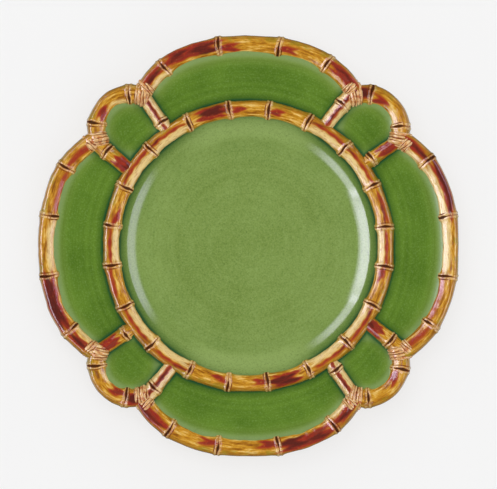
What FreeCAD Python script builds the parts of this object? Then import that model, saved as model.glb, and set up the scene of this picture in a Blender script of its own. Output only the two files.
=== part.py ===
import FreeCAD, Part
import math
import os

from FreeCAD import Vector

# A green-glazed earthenware dinner plate with a raised bamboo-cane border.
# Millimetres. +Z is up, the origin is the centre of the foot's standing plane,
# and +X points at the middle of one of the four wide lobes of the rim.
# The plan repeats four times around Z, so each relief piece is made once for
# the first quarter and then turned.

QUARTERS = 4
UP = Vector(0, 0, 1)
ORIGIN = Vector(0, 0, 0)

# Rim outline in plan: four wide lobes and four small corner lobes.
PLATE_WIDTH = 280.0  # over two opposite wide lobes
RIM_CANE_RADIUS = 6.0
RIM_CANE_Z = 23.3  # height of the rim canes' centreline
LOBE_MIDDLE_HALF_ANGLE = 14.0  # the part of a wide lobe that is concentric with the plate
LOBE_END_RADIUS = 61.7  # tighter arcs at both ends of a wide lobe
CORNER_ANGLE = 45.0
CORNER_RADIUS = 23.2
CORNER_CENTRE_DISTANCE = 110.1
RIM_KNUCKLES = (-23.3, -8.7, 8.5, 25.3)  # degrees from the wide lobe's middle
CORNER_KNUCKLES = (-41.5, 36.0)  # degrees around the corner arc from its outermost point

# Ring of canes around the well.
RING_RADIUS = 91.6
RING_CANE_RADIUS = 5.5
RING_CANE_Z = 18.4
RING_SEAM_ANGLE = 45.5  # each quarter cane runs from one such seam to the next
RING_KNUCKLES = (64.5, 81.5, 98.0, 116.0)  # degrees; a fifth knuckle covers the seam
SEAM_SETBACK = 0.01  # keeps the two half knuckles of a seam just short of each other

# Struts between the ring and the ends of the corner canes: angle at the ring,
# angle at the outer end, cane radius, and distance of the knuckle from the axis.
STRUT_OUTER_DISTANCE = 121.0
STRUTS = (
    (35.3, 35.1, 4.9, 100.5),
    (57.4, 55.9, 5.4, 113.0),
)

# Knuckles are two rounded beads side by side; the groove between them stays.
KNUCKLE_BEAD_RADIUS = 0.95
KNUCKLE_BEAD_OFFSET = 0.75

# Lashings: a rounded knot over each joint, with turns of cord round both canes.
KNOT_RADIUS = 7.5
CORD_RADIUS = 1.0
CORD_SINK = 0.2  # how far outside the cane's surface the cord's centre lies
CORD_TURN_DISTANCES = (4.0, 5.7, 7.4)  # along each cane from the joint

# Section of the turned body, seen as radius and height.
FLOOR_RADIUS = 67.0
FLOOR_TOP_Z = 6.5
WALL_THICKNESS = 4.5
WALL_BEND_RADIUS = 17.0  # inner radius of the bend from the floor into the wall
WALL_SLOPE = 42.0
SHOULDER_RADIUS = 85.0  # where the wall turns over into the rim
RIM_SLOPE = 8.0
BODY_BLOCK_RADIUS = 142.0  # beyond the rim's edge, before the body is trimmed to its outline
OUTLINE_PRISM_HEIGHT = 45.0  # taller than the body, which it trims

# Foot ring under the wall.
FOOT_MIDDLE_RADIUS = 69.0
FOOT_STANDING_WIDTH = 2.4
FOOT_WIDTH = 5.4
FOOT_ROUNDING = 1.2
FOOT_TOP_WIDTH = 7.4
FOOT_TOP_Z = 6.0

GLAZE_THICKNESS = 0.5

RIM_RADIUS = PLATE_WIDTH / 2 - RIM_CANE_RADIUS
LOBE_END_CENTRE_DISTANCE = RIM_RADIUS - LOBE_END_RADIUS


def polar(distance, degrees, z=0.0):
    """A point from its distance and angle around the plate's axis."""
    angle = math.radians(degrees)
    return Vector(distance * math.cos(angle), distance * math.sin(angle), z)


def angle_about(centre, point):
    """Angle of a point seen from a centre, in degrees, in plan."""
    return math.degrees(math.atan2(point.y - centre.y, point.x - centre.x))


def turned(shape, quarter):
    """A copy of a shape, turned by a number of quarter turns."""
    copy = shape.copy()
    copy.rotate(ORIGIN, UP, 360.0 / QUARTERS * quarter)
    return copy


def largest_solid(shape):
    """The main solid of a cut, without the slivers left behind the body."""
    return max(shape.Solids, key=lambda solid: solid.Volume)


def ray_meets_circle(centre, radius, degrees):
    """Far point at which a ray from the plate's axis meets a circle in plan."""
    ray = polar(1.0, degrees)
    along = centre.dot(ray)
    return ray * (along + math.sqrt(along**2 - centre.dot(centre) + radius**2))


def circles_meet(centre_a, radius_a, centre_b, radius_b):
    """The crossing of two circles that lies clockwise of the line between them."""
    line = centre_b - centre_a
    along = (line.Length**2 + radius_a**2 - radius_b**2) / (2 * line.Length)
    aside = math.sqrt(radius_a**2 - along**2)
    direction = line / line.Length
    return centre_a + direction * along + direction.cross(UP) * aside


CORNER_CENTRE = polar(CORNER_CENTRE_DISTANCE, CORNER_ANGLE)
END_CENTRE = polar(LOBE_END_CENTRE_DISTANCE, LOBE_MIDDLE_HALF_ANGLE)
JOINT = circles_meet(END_CENTRE, LOBE_END_RADIUS, CORNER_CENTRE, CORNER_RADIUS)
CORNER_START = angle_about(CORNER_CENTRE, JOINT)
CORNER_END = 2 * CORNER_ANGLE - CORNER_START

# The same lobe end and joint on the clockwise side of the first wide lobe.
END_CENTRE_LOW = Vector(END_CENTRE.x, -END_CENTRE.y, 0)
JOINT_LOW = Vector(JOINT.x, -JOINT.y, 0)


def bent_cane(centre, bend_radius, start, end, z, cane_radius):
    """A round cane bent along an arc in plan, with flat ends."""
    direction = polar(1.0, start)
    start_point = centre + direction * bend_radius + UP * z
    section = Part.Wire(Part.makeCircle(cane_radius, start_point, direction.cross(UP)))
    return Part.Face(section).revolve(centre, UP, end - start)


def knuckle(point, direction, cane_radius):
    """The double bead of one bamboo node round a cane."""
    beads = [
        Part.makeTorus(cane_radius, KNUCKLE_BEAD_RADIUS, point + direction * offset, direction)
        for offset in (-KNUCKLE_BEAD_OFFSET, KNUCKLE_BEAD_OFFSET)
    ]
    return beads[0].fuse(beads[1])


def knuckle_on_arc(point, centre, z, cane_radius):
    """A knuckle on a cane that is bent about a centre in plan."""
    along = UP.cross(point - centre).normalize()
    return knuckle(point + UP * z, along, cane_radius)


def make_rim_cane():
    """Cane of the wide lobe at +X: three tangent arcs with rounded ends."""
    half = LOBE_MIDDLE_HALF_ANGLE
    arcs = (
        (ORIGIN, RIM_RADIUS, -half, half),
        (END_CENTRE, LOBE_END_RADIUS, half, angle_about(END_CENTRE, JOINT)),
        (END_CENTRE_LOW, LOBE_END_RADIUS, angle_about(END_CENTRE_LOW, JOINT_LOW), -half),
    )
    pieces = [bent_cane(*arc, RIM_CANE_Z, RIM_CANE_RADIUS) for arc in arcs]
    for joint in (JOINT, JOINT_LOW):
        pieces.append(Part.makeSphere(RIM_CANE_RADIUS, joint + UP * RIM_CANE_Z))
    for angle in RIM_KNUCKLES:
        if abs(angle) < half:
            centre, point = ORIGIN, polar(RIM_RADIUS, angle)
        else:
            centre = END_CENTRE if angle > 0 else END_CENTRE_LOW
            point = ray_meets_circle(centre, LOBE_END_RADIUS, angle)
        pieces.append(knuckle_on_arc(point, centre, RIM_CANE_Z, RIM_CANE_RADIUS))
    return pieces[0].multiFuse(pieces[1:]).removeSplitter()


def make_corner_cane(rim_canes):
    """Cane of the first corner lobe, coped over the rim canes at both ends."""
    arc = (CORNER_CENTRE, CORNER_RADIUS, CORNER_START, CORNER_END)
    pieces = [bent_cane(*arc, RIM_CANE_Z, RIM_CANE_RADIUS)]
    for angle in CORNER_KNUCKLES:
        point = CORNER_CENTRE + polar(CORNER_RADIUS, CORNER_ANGLE + angle)
        pieces.append(knuckle_on_arc(point, CORNER_CENTRE, RIM_CANE_Z, RIM_CANE_RADIUS))
    cane = pieces[0].multiFuse(pieces[1:])
    return cane.cut(rim_canes).removeSplitter()


def make_ring_cane(body_block):
    """One quarter of the ring of canes, bedded on the body."""
    start = RING_SEAM_ANGLE
    end = start + 360.0 / QUARTERS
    pieces = [bent_cane(ORIGIN, RING_RADIUS, start, end, RING_CANE_Z, RING_CANE_RADIUS)]
    for angle in RING_KNUCKLES:
        pieces.append(knuckle_on_arc(polar(RING_RADIUS, angle), ORIGIN, RING_CANE_Z, RING_CANE_RADIUS))
    for angle, inward in ((start, 1), (end, -1)):
        seam = polar(RING_RADIUS, angle, RING_CANE_Z)
        along = UP.cross(seam).normalize()
        bead = seam + along * (inward * (KNUCKLE_BEAD_RADIUS + SEAM_SETBACK))
        pieces.append(Part.makeTorus(RING_CANE_RADIUS, KNUCKLE_BEAD_RADIUS, bead, along))
    cane = pieces[0].multiFuse(pieces[1:])
    return largest_solid(cane.cut(body_block)).removeSplitter()


def make_strut(sizes, body_block, neighbours):
    """A short straight cane from the ring to a joint, coped to what it meets."""
    ring_angle, outer_angle, radius, knuckle_distance = sizes
    inner = polar(RING_RADIUS, ring_angle, RING_CANE_Z)
    outer = polar(STRUT_OUTER_DISTANCE, outer_angle, RIM_CANE_Z)
    line = outer - inner
    direction = line / line.Length
    share = (knuckle_distance - RING_RADIUS) / (STRUT_OUTER_DISTANCE - RING_RADIUS)
    cane = Part.makeCylinder(radius, line.Length, inner, direction)
    cane = cane.fuse(knuckle(inner + line * share, direction, radius))
    return largest_solid(cane.cut([body_block] + neighbours))


def cord_turns(centre, bend_radius, start_angle, sense):
    """Three turns of cord round a bent cane, stepping away from the joint."""
    turns = []
    for distance in CORD_TURN_DISTANCES:
        angle = start_angle + sense * math.degrees(distance / bend_radius)
        point = centre + polar(bend_radius, angle)
        along = UP.cross(point - centre).normalize()
        major = RIM_CANE_RADIUS + CORD_SINK
        turns.append(Part.makeTorus(major, CORD_RADIUS, point + UP * RIM_CANE_Z, along))
    return turns


def make_lashing(mirrored, body_block, neighbours):
    """The knot and cord turns over the joint at one end of a corner cane."""
    pieces = [Part.makeSphere(KNOT_RADIUS, JOINT + UP * RIM_CANE_Z)]
    pieces += cord_turns(CORNER_CENTRE, CORNER_RADIUS, CORNER_START, 1)
    pieces += cord_turns(END_CENTRE, LOBE_END_RADIUS, angle_about(END_CENTRE, JOINT), -1)
    lashing = pieces[0].multiFuse(pieces[1:])
    if mirrored:
        diagonal = polar(1.0, CORNER_ANGLE + 90.0)
        lashing = lashing.mirror(ORIGIN, diagonal)
    return largest_solid(lashing.cut([body_block] + neighbours))


def arc_edge(centre, radius, start, end):
    """An arc in plan from one angle to another about a centre."""
    points = [centre + polar(radius, angle) for angle in (start, (start + end) / 2, end)]
    return Part.Arc(*points).toShape()


def make_outline():
    """Closed face along the centrelines of all rim canes."""
    half = LOBE_MIDDLE_HALF_ANGLE
    quarter_edges = [
        arc_edge(END_CENTRE_LOW, LOBE_END_RADIUS, angle_about(END_CENTRE_LOW, JOINT_LOW), -half),
        arc_edge(ORIGIN, RIM_RADIUS, -half, half),
        arc_edge(END_CENTRE, LOBE_END_RADIUS, half, angle_about(END_CENTRE, JOINT)),
        arc_edge(CORNER_CENTRE, CORNER_RADIUS, CORNER_START, CORNER_END),
    ]
    edges = [turned(edge, quarter) for quarter in range(QUARTERS) for edge in quarter_edges]
    return Part.Face(Part.Wire(Part.__sortEdges__(edges)))


def revolved(edges):
    """Solid turned about the plate's axis from a closed section in the XZ plane."""
    return Part.Face(Part.Wire(edges)).revolve(ORIGIN, UP, 360)


def section_side(bend_radius, floor_z, shoulder):
    """Floor, bend, wall and rim of one side of the body's section, from the axis out."""
    slope = math.radians(WALL_SLOPE)
    bend_centre = Vector(FLOOR_RADIUS, 0, floor_z + bend_radius)

    def on_bend(angle):
        return bend_centre + Vector(bend_radius * math.sin(angle), 0, -bend_radius * math.cos(angle))

    wall_foot = on_bend(slope)
    wall_top = wall_foot + Vector(1, 0, math.tan(slope)) * (shoulder - wall_foot.x)
    rim_run = BODY_BLOCK_RADIUS - shoulder
    rim_end = wall_top + Vector(rim_run, 0, rim_run * math.tan(math.radians(RIM_SLOPE)))
    axis = Vector(0, 0, floor_z)
    edges = [
        Part.LineSegment(axis, on_bend(0)).toShape(),
        Part.Arc(on_bend(0), on_bend(slope / 2), wall_foot).toShape(),
        Part.LineSegment(wall_foot, wall_top).toShape(),
        Part.LineSegment(wall_top, rim_end).toShape(),
    ]
    return axis, edges, rim_end


def make_body_block():
    """Turned body before its edge is trimmed to the lobed outline."""
    outer_bend = WALL_BEND_RADIUS + WALL_THICKNESS
    slope = math.radians(WALL_SLOPE)
    shoulder_shift = WALL_THICKNESS * math.tan((slope + math.radians(RIM_SLOPE)) / 2)
    top_axis, top, top_end = section_side(WALL_BEND_RADIUS, FLOOR_TOP_Z, SHOULDER_RADIUS)
    under_z = FLOOR_TOP_Z - WALL_THICKNESS
    under_axis, under, under_end = section_side(outer_bend, under_z, SHOULDER_RADIUS + shoulder_shift)
    closing = [
        Part.LineSegment(top_end, under_end).toShape(),
        Part.LineSegment(under_axis, top_axis).toShape(),
    ]
    return revolved(Part.__sortEdges__(top + under + closing))


def make_foot_ring(body_block):
    """Foot: a low ring with a narrow flat standing edge, topped by the body."""
    standing = FOOT_STANDING_WIDTH / 2
    side = FOOT_WIDTH / 2
    top = FOOT_TOP_WIDTH / 2
    diagonal = math.sqrt(0.5)
    bulge = side - FOOT_ROUNDING * (1 - diagonal)
    bulge_z = FOOT_ROUNDING * (1 - diagonal)

    def at(offset, z):
        return Vector(FOOT_MIDDLE_RADIUS + offset, 0, z)

    edges = [
        Part.LineSegment(at(-standing, 0), at(standing, 0)).toShape(),
        Part.LineSegment(at(-top, FOOT_TOP_Z), at(top, FOOT_TOP_Z)).toShape(),
    ]
    for sign in (-1, 1):
        low = at(sign * standing, 0)
        high = at(sign * side, FOOT_ROUNDING)
        edges.append(Part.Arc(low, at(sign * bulge, bulge_z), high).toShape())
        edges.append(Part.LineSegment(high, at(sign * top, FOOT_TOP_Z)).toShape())
    return revolved(Part.__sortEdges__(edges)).cut(body_block)


def make_glaze_fields(body_block, outline_prism, relief):
    """The green glaze, one skin in the well, one in each lobe and one in each corner."""
    raised = body_block.copy()
    raised.translate(UP * GLAZE_THICKNESS)
    skin = raised.cut(body_block).common(outline_prism)
    fields = {}
    for solid in skin.cut(relief).Solids:
        middle = solid.BoundBox.Center
        if Vector(middle.x, middle.y, 0).Length < RING_RADIUS / 2:
            name = "well_glaze"
        else:
            eighth = round(angle_about(ORIGIN, middle) / CORNER_ANGLE) % (2 * QUARTERS)
            kind = "corner_glaze" if eighth % 2 else "rim_glaze"
            name = f"{kind}_{eighth // 2 + 1}"
        if name not in fields or solid.Volume > fields[name].Volume:
            fields[name] = solid
    return fields


def make_parts():
    """Every piece of the plate by name."""
    parts = {}
    body_block = make_body_block()
    outline_prism = make_outline().extrude(UP * OUTLINE_PRISM_HEIGHT)

    rim_canes = [turned(make_rim_cane(), quarter) for quarter in range(QUARTERS)]
    corner_cane = make_corner_cane(rim_canes[:2])
    corner_canes = [turned(corner_cane, quarter) for quarter in range(QUARTERS)]
    ring_cane = make_ring_cane(body_block)
    ring_canes = [turned(ring_cane, quarter) for quarter in range(QUARTERS)]

    near_joint = rim_canes[:2] + [corner_cane]
    near_ring = [ring_canes[0], ring_canes[QUARTERS - 1]]
    struts = [make_strut(sizes, body_block, near_joint + near_ring) for sizes in STRUTS]
    lashings = [
        make_lashing(mirrored, body_block, near_joint + [strut])
        for mirrored, strut in zip((False, True), struts)
    ]

    parts["plate_body"] = body_block.common(outline_prism).cut(rim_canes + corner_canes)
    parts["foot_ring"] = make_foot_ring(body_block)
    for quarter in range(QUARTERS):
        parts[f"rim_cane_{quarter + 1}"] = rim_canes[quarter]
        parts[f"corner_cane_{quarter + 1}"] = corner_canes[quarter]
        parts[f"ring_cane_{quarter + 1}"] = ring_canes[quarter]
        for side in range(2):
            number = 2 * quarter + side + 1
            parts[f"strut_{number}"] = turned(struts[side], quarter)
            parts[f"lashing_{number}"] = turned(lashings[side], quarter)
    relief = [shape for name, shape in parts.items() if name not in ("plate_body", "foot_ring")]
    parts.update(make_glaze_fields(body_block, outline_prism, relief))
    return parts


os.makedirs("parts", exist_ok=True)
for name, shape in make_parts().items():
    shape.exportStep(f"parts/{name}.step")
    print(name, "solids", len(shape.Solids), "valid", shape.isValid(), "volume", round(shape.Volume, 1))
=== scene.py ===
import math

import bpy
import numpy as np
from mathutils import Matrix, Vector


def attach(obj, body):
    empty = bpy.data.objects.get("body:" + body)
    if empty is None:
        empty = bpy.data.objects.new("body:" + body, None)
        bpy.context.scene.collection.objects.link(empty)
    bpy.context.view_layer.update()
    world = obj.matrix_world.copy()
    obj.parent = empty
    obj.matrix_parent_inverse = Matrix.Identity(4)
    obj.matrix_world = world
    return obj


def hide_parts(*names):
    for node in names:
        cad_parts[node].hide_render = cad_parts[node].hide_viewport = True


# Looks of the green-glazed dinner plate with its border of bamboo canes.
# Lengths below are in millimetres in the CAD frame and become metres in make_mesh.
# Angles are degrees. The first quarter of every relief piece is shaped once and
# then turned; the paint and the small unevenness differ from quarter to quarter.

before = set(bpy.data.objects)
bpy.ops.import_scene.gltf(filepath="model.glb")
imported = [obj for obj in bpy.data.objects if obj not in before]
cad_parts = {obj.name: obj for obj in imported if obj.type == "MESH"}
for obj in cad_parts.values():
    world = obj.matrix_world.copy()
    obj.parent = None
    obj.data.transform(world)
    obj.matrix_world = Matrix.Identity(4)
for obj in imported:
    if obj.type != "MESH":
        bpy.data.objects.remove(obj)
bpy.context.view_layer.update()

MM = 0.001
QUARTERS = 4
QUARTER_TURN = 90.0

# Plan of the rim, as in the CAD. Knuckles are given by angle, those of a corner lobe
# by the angle about its arc's centre, from its middle line.
RIM_RADIUS = 134.0
RIM_Z = 23.3
LOBE_HALF = 14.0
LOBE_END_RADIUS = 61.7
CORNER_ANGLE = 45.0
CORNER_RADIUS = 23.2
CORNER_DISTANCE = 110.1
RIM_KNUCKLES = (-23.3, -8.7, 8.5, 25.3)
CORNER_KNUCKLES = (-41.5, 36.0)

RING_RADIUS = 91.6
RING_Z = 19.0
RING_SEAM = 45.5
RING_KNUCKLES = (45.5, 64.5, 81.5, 98.0, 116.0, 135.5)

# Struts: angle at the ring, angle at the outer end, half width, knuckle distance.
STRUT_INNER = 93.2
STRUT_OUTER = 121.0
STRUTS = ((35.3, 35.1, 4.3, 100.5), (57.4, 55.9, 4.8, 113.0))

# Cane sections: half width, height above and depth below the centreline. The crest
# lies outside the middle, so the inner flank is broad and gentle.
RIM_SECTION = (5.75, 5.8, 4.6)
RING_SECTION = (5.35, 4.6, 3.2)
STRUT_HEIGHT = 4.5
STRUT_DEPTH = 3.4
STRUT_DIP = 0.7  # how far a strut's inner end lies below the ring canes' centreline
CREST = 0.42  # where the crest lies, from -1 at the inner side to 1 at the outer side
FLANK_DROP = 0.56  # how far the inner flank falls, as a share of the height
CANE_STEP = 0.45  # distance between rings of vertices along a cane
AROUND = 56  # vertices around a cane

# Upper side of the turned body, rounder than the CAD's: slopes at distances from the axis.
UPPER_SLOPES = (
    (65.0, 0.0), (70.0, 10.0), (73.0, 20.0), (76.3, 26.0), (81.0, 33.0),
    (82.8, 42.0), (87.0, 42.0), (89.2, 8.0), (142.0, 7.6),
)
FLOOR_Z = 6.5  # height of the well's floor

# Underside of the turned body, as in the CAD.
FLOOR_RADIUS = 67.0  # where the flat floor ends
BEND_RADIUS = 17.0
WALL_SLOPE = 42.0
SHOULDER = 85.0  # where the wall turns into the rim
RIM_SLOPE = 8.0
WALL = 4.5  # thickness of the body
RIM_THINNING = 1.2  # how much thinner the body gets towards its edge
THINNING_SPAN = (105.0, 136.0)

BODY_BELOW = 0.15  # how far the body's top lies below the turned section
BODY_TUCK = 0.8  # how far short of the rim canes' centreline it ends
BODY_ANGLES = 1440
BODY_ROWS = 120

GLAZE = 0.5  # thickness of the green glaze
GLAZE_BELOW = 0.1  # how far the glaze's underside lies below the turned section
OUTER_TUCK = 2.5  # how far short of the canes' centreline it ends
INNER_TUCK = 2.0  # how far outside the ring's centreline it begins on a lobe
WELL_MIDDLE = 0.6  # radius of its innermost ring of vertices
WELL_ANGLES = 720
WELL_ROWS = 170
LOBE_ROWS = 80
LOBE_ANGLES = 5  # per degree
FILLET = 7.5  # how far from the rim canes the glaze starts to climb
FILLET_SLOPE = 0.36  # its slope where it meets the canes
FAR = 99.0  # a distance to relief that is too large to matter

# Lashings: cord round the corner cane's end and on into the plate, and over the rim cane.
TURN_SPACING = 2.15
WRAP_BEFORE = 4.2  # how far back over the corner cane the binding reaches
WRAP_BEYOND = 7.6  # how far past the joint it reaches, into the plate
RIM_TURNS = (9.0, 2.5)  # distances from the joint between which the rim cane is bound

# These keep the noise on one piece from repeating on the next.
CANE_OFFSET = 211.0
CORD_OFFSET = 97.0

# Where the green changes from the well's to the lobes', hidden under the ring canes.
UNDER_RING = (89.0, 91.0)

# Camera, in metres. It looks straight down on the plane of the rim.
CAMERA_HEIGHT = 1.5
VIEW_WIDTH = 0.3302  # width of that plane in the picture
SENSOR_WIDTH = 36.0
IMAGE_WIDTH = 497
CENTRE_DROP = 1.5  # pixels by which the plate's middle lies below the picture's

# Surroundings: all round, low at both sides, for matt surfaces and past the floor.
DIM_WORLD = 0.12
SIDE_WORLD = 0.8
SOFT_WORLD = 0.5
PALE_WORLD = 0.91

# Lavender tints of the panels mirrored in the glaze, after the sheen in the photo.
LEFT_TINT = (0.86, 0.82, 1.0)
RIGHT_TINT = (0.77, 0.69, 1.0)

FLOOR_HALF = 6.0  # half its width, in metres
FLOOR_GAP = 0.05  # how far it lies below the plate's foot, in millimetres
FLOOR_GREY = 0.25
FLOOR_GLOW = 0.645


def polar(distance, degrees):
    """Point in plan from its distance and angle; both may be arrays."""
    angle = np.radians(degrees)
    return np.stack([distance * np.cos(angle), distance * np.sin(angle)], -1)


def angle_of(point):
    """Angle of a point in plan, in degrees."""
    return np.degrees(np.arctan2(point[..., 1], point[..., 0]))


def fold(degrees, start=-45.0):
    """Angle brought into the quarter turn that begins at start."""
    return (degrees - start) % QUARTER_TURN + start


def bell(x, width):
    """Smooth bump of height 1 at 0."""
    return np.exp(-((x / width) ** 2))


def ramp(x, low, high):
    """Smooth step from 0 at low to 1 at high."""
    t = np.clip((x - low) / (high - low), 0.0, 1.0)
    return t * t * (3 - 2 * t)


END_CENTRE = polar(RIM_RADIUS - LOBE_END_RADIUS, LOBE_HALF)
CORNER_CENTRE = polar(CORNER_DISTANCE, CORNER_ANGLE)


def find_joint():
    """Where the lobe end and corner arcs cross, clockwise of the line between centres."""
    line = CORNER_CENTRE - END_CENTRE
    length = np.hypot(*line)
    along = (length**2 + LOBE_END_RADIUS**2 - CORNER_RADIUS**2) / (2 * length)
    aside = math.sqrt(LOBE_END_RADIUS**2 - along**2)
    unit = line / length
    return END_CENTRE + unit * along + np.array([unit[1], -unit[0]]) * aside


JOINT = find_joint()
FLIP = np.array([1.0, -1.0])
CORNER_START = float(angle_of(JOINT - CORNER_CENTRE))
LOBE_END_ANGLE = float(angle_of(JOINT - END_CENTRE))


# ------------ meshes


def turn(points, quarter):
    """Points turned about the axis by a number of quarter turns."""
    angle = math.radians(QUARTER_TURN * quarter)
    c, s = math.cos(angle), math.sin(angle)
    out = points.copy()
    out[..., 0] = c * points[..., 0] - s * points[..., 1]
    out[..., 1] = s * points[..., 0] + c * points[..., 1]
    return out


def mirror_corner(points):
    """Points mirrored about the middle of the first corner lobe."""
    return points[..., [1, 0, 2]]


def loft_faces(rings, around, poles):
    """Quads of a lofted tube. The ends close on a pole each, or on strips of quads."""
    i, k = np.meshgrid(np.arange(rings - 1), np.arange(around), indexing="ij")
    a = i * around + k
    b = i * around + (k + 1) % around
    quads = np.stack([a, b, b + around, a + around], -1).reshape(-1, 4)
    triangles = np.zeros((0, 3), int)
    last = (rings - 1) * around
    k = np.arange(around)
    if poles:
        first_pole = rings * around
        low = np.stack([(k + 1) % around, k, np.full(around, first_pole)], -1)
        high = np.stack([last + k, last + (k + 1) % around, np.full(around, first_pole + 1)], -1)
        triangles = np.concatenate([low, high])
    else:
        k = np.arange(around // 2 - 1)
        strip = np.stack([k, around - 1 - k, around - 2 - k, k + 1], -1)
        quads = np.concatenate([quads, strip, last + strip[:, ::-1]])
    return quads, triangles


def signed_volume(points, quads, triangles):
    """Volume inside the faces; negative when they point inward."""
    total = 0.0
    for faces in (triangles, quads[:, :3], quads[:, [0, 2, 3]]):
        a, b, c = (points[faces[:, n]] for n in range(3))
        total += np.einsum("ij,ij->", a, np.cross(b, c))
    return total


def gather(lofts, poles):
    """Points, quads, triangles and attribute values of all lofts, numbered together."""
    points, quads, triangles, values = [], [], [], {}
    start = 0
    for grid, attributes in lofts:
        rings, around = grid.shape[:2]
        extra = [grid[0].mean(0), grid[-1].mean(0)] if poles else []
        own_points = np.concatenate([grid.reshape(-1, 3), np.array(extra).reshape(-1, 3)])
        own_quads, own_triangles = loft_faces(rings, around, poles)
        if signed_volume(own_points, own_quads, own_triangles) < 0:
            own_quads, own_triangles = own_quads[:, ::-1], own_triangles[:, ::-1]
        points.append(own_points)
        quads.append(own_quads + start)
        triangles.append(own_triangles + start)
        start += len(own_points)
        for key, value in attributes.items():
            whole = np.broadcast_to(value, grid.shape[:2])
            ends = [whole[0].mean(), whole[-1].mean()] if poles else []
            values.setdefault(key, []).append(np.concatenate([whole.reshape(-1), ends]))
    values = {key: np.concatenate(parts) for key, parts in values.items()}
    return np.concatenate(points), np.concatenate(quads), np.concatenate(triangles), values


def make_mesh(name, lofts, poles=False):
    """One object from lofts, each (points by ring and place, {attribute: values})."""
    points, quads, triangles, values = gather(lofts, poles)
    mesh = bpy.data.meshes.new(name)
    mesh.vertices.add(len(points))
    mesh.vertices.foreach_set("co", (points * MM).astype(np.float32).ravel())
    corners = np.concatenate([quads.ravel(), triangles.ravel()]).astype(np.int32)
    mesh.loops.add(len(corners))
    mesh.loops.foreach_set("vertex_index", corners)
    sizes = np.concatenate([np.full(len(quads), 4), np.full(len(triangles), 3)])
    starts = np.concatenate([[0], np.cumsum(sizes)[:-1]]).astype(np.int32)
    mesh.polygons.add(len(sizes))
    mesh.polygons.foreach_set("loop_start", starts)
    mesh.update(calc_edges=True)
    mesh.validate()
    mesh.shade_smooth()
    for key, value in values.items():
        layer = mesh.attributes.new(key, "FLOAT", "POINT")
        layer.data.foreach_set("value", value.astype(np.float32))
    piece = bpy.data.objects.new(name, mesh)
    bpy.context.scene.collection.objects.link(piece)
    return piece


def place(piece, node, slot, material):
    """Finish one piece: what it replaces, rides on and is finished in."""
    piece.data.materials.append(material)
    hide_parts(node)
    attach(piece, "root")


# ------------ cane paths


def run_along(points):
    """Distance covered at each point of a path."""
    return np.concatenate([[0.0], np.cumsum(np.hypot(*np.diff(points, axis=0).T))])


def arc_path(arcs, step=CANE_STEP):
    """Points, outward directions and run along arcs given as centre, radius, start, end."""
    points, outward = [], []
    for number, (centre, radius, start, end) in enumerate(arcs):
        count = max(3, int(abs(math.radians(end - start)) * radius / step))
        angles = np.linspace(start, end, count + 1)
        if number:
            angles = angles[1:]
        points.append(np.asarray(centre) + polar(radius, angles))
        outward.append(polar(1.0, angles))
    points = np.concatenate(points)
    return points, np.concatenate(outward), run_along(points)


def rim_path():
    """Centreline of the first wide lobe's cane, from joint to joint."""
    return arc_path((
        (END_CENTRE * FLIP, LOBE_END_RADIUS, -LOBE_END_ANGLE, -LOBE_HALF),
        ((0.0, 0.0), RIM_RADIUS, -LOBE_HALF, LOBE_HALF),
        (END_CENTRE, LOBE_END_RADIUS, LOBE_HALF, LOBE_END_ANGLE),
    ))


def corner_path():
    """Centreline of the first corner lobe's cane."""
    return arc_path(((CORNER_CENTRE, CORNER_RADIUS, CORNER_START, 2 * CORNER_ANGLE - CORNER_START),))


def ring_path():
    """Centreline of the first quarter of the ring."""
    return arc_path((((0.0, 0.0), RING_RADIUS, RING_SEAM, RING_SEAM + QUARTER_TURN),))


def strut_path(sizes):
    """Centreline of a strut; its outward side is the clockwise one."""
    ring_angle, outer_angle = sizes[:2]
    start, end = polar(STRUT_INNER, ring_angle), polar(STRUT_OUTER, outer_angle)
    length = np.hypot(*(end - start))
    share = np.linspace(0.0, 1.0, int(length / CANE_STEP) + 1)
    points = start + (end - start) * share[:, None]
    unit = (end - start) / length
    outward = np.broadcast_to(np.array([unit[1], -unit[0]]), points.shape)
    return points, outward, share * length


def nearest_knuckle(run, knuckle_runs):
    """Signed distance from each place on a cane to its nearest knuckle, and which it is."""
    gaps = run[:, None] - np.asarray(knuckle_runs)
    index = np.abs(gaps).argmin(1)
    return gaps[np.arange(len(run)), index], index


def internode_share(run, knuckle_runs):
    """0 at a knuckle and 1 midway between two knuckles."""
    marks = np.sort(knuckle_runs)
    inside = np.interp(run, marks, np.arange(len(marks)))
    return np.sin(np.pi * (inside - np.floor(inside)))


def wander(run, seed, wavelength, size):
    """Slow unevenness along a run."""
    random = np.random.default_rng(seed)
    total = np.zeros_like(run)
    for octave in range(3):
        phase = random.uniform(0, 2 * math.pi)
        total = total + np.sin(run * 2 * math.pi / wavelength * (octave + 1) + phase) / (octave + 1)
    return total * size


def section_outline(around, crest):
    """Lopsided section of a cane, in units of its size: lateral place, top and bottom."""
    x = np.cos(around)
    inner = np.clip((crest - x) / (1 + crest), 0.0, 1.0)
    outer = np.clip((x - crest) / (1 - crest), 0.0, 1.0)
    flank = FLANK_DROP * inner**1.2
    foot = (1 - FLANK_DROP) * (1 - np.sqrt(np.clip(1 - inner**9, 0.0, 1.0)))
    top = 1 - flank - foot - (1 - np.sqrt(1 - outer**2))
    bottom = np.where(around > math.pi, np.sin(around), 0.0)
    return x, np.where(around <= math.pi, top, 0.0), bottom


def knuckle_shape(local, around):
    """Swelling at a knuckle: two beads with a groove between them, flared at the sides."""
    beads = bell(np.abs(local) - 1.4, 0.7) * 0.42 - bell(local, 0.8) * 0.25
    flare = np.exp(-np.abs(local) / 2.4) * (0.35 + 0.55 * np.cos(around) ** 4)
    inner_flare = np.exp(-np.abs(local) / 1.3) * 0.6 * np.clip(-np.cos(around), 0, 1) ** 6
    return beads + (flare + inner_flare)


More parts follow.
